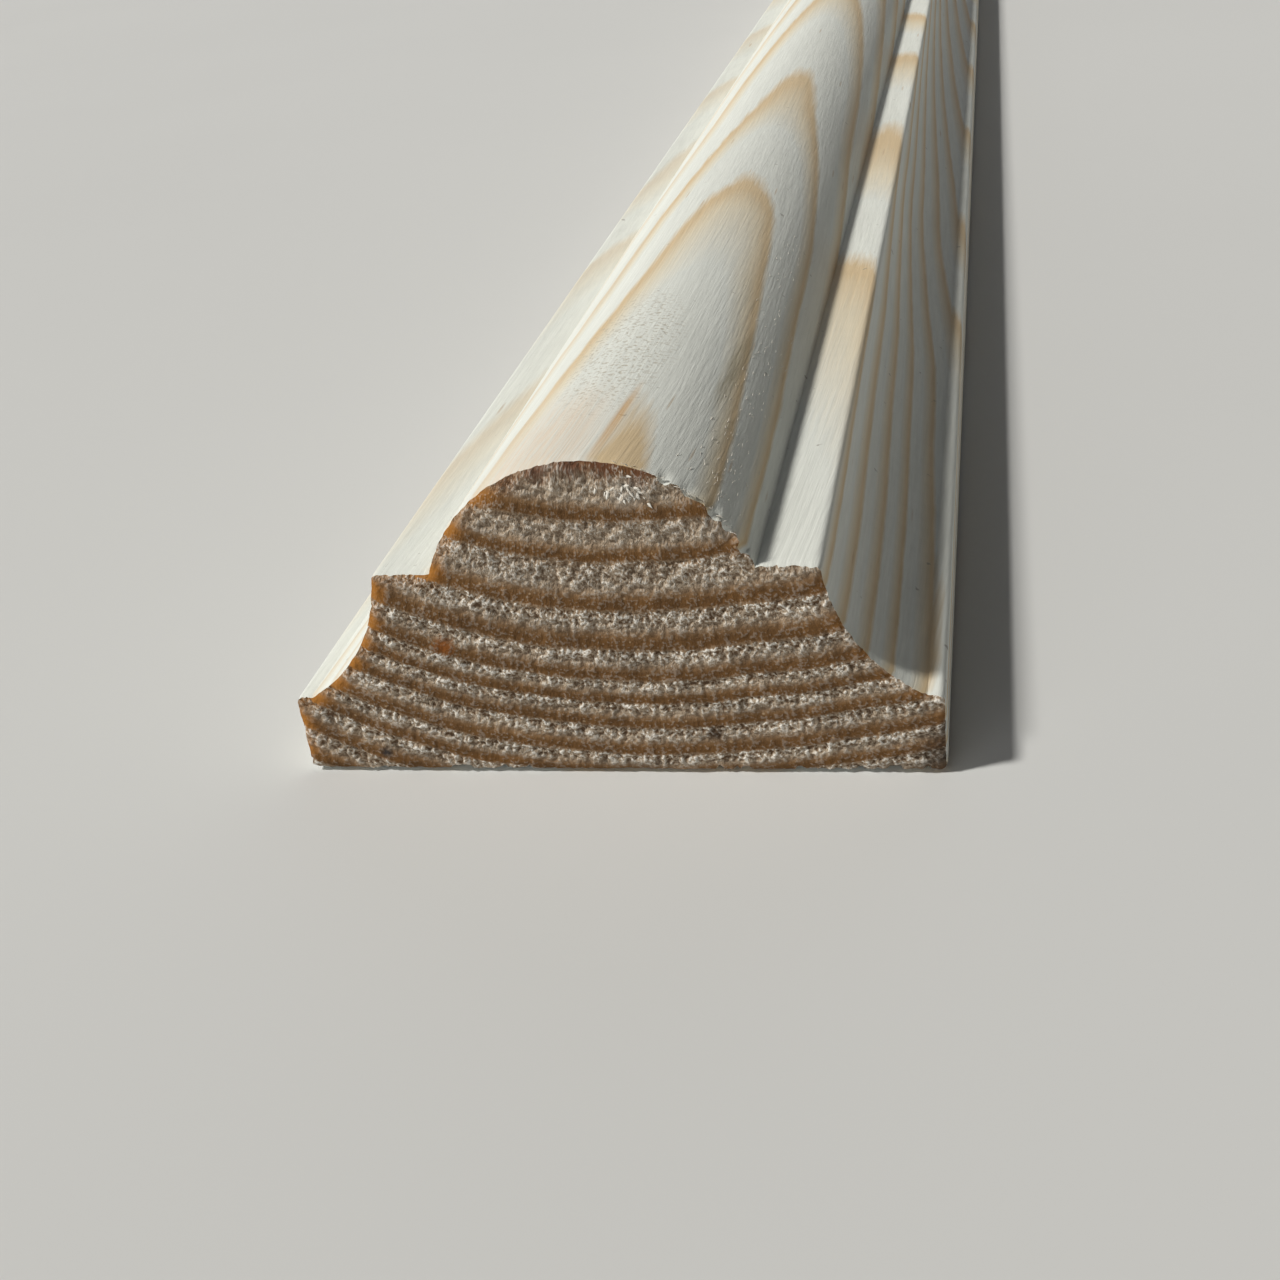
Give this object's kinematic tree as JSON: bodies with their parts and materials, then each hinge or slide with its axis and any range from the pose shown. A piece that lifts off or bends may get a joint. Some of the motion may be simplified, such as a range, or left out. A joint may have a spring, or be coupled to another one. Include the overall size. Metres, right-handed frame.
{
  "type": "astragal moulding",
  "caption": "Length of planed pine moulding with a flat back, a raised round bead between fillets, and a cove down each side, for covering a joint or framing a panel.",
  "frame": {"origin": "middle of the flat back face, half way along the length", "axes": "+Y along the length, +Z out of the back through the crown of the bead, +X across the width"},
  "size_m": [0.035, 1, 0.018],
  "materials": {
    "pine": "planed and unfinished on the long faces, rough-sawn on the ends"
  },
  "bodies": {
    "root": {"moulding": "pine"}
  },
  "joints": []
}
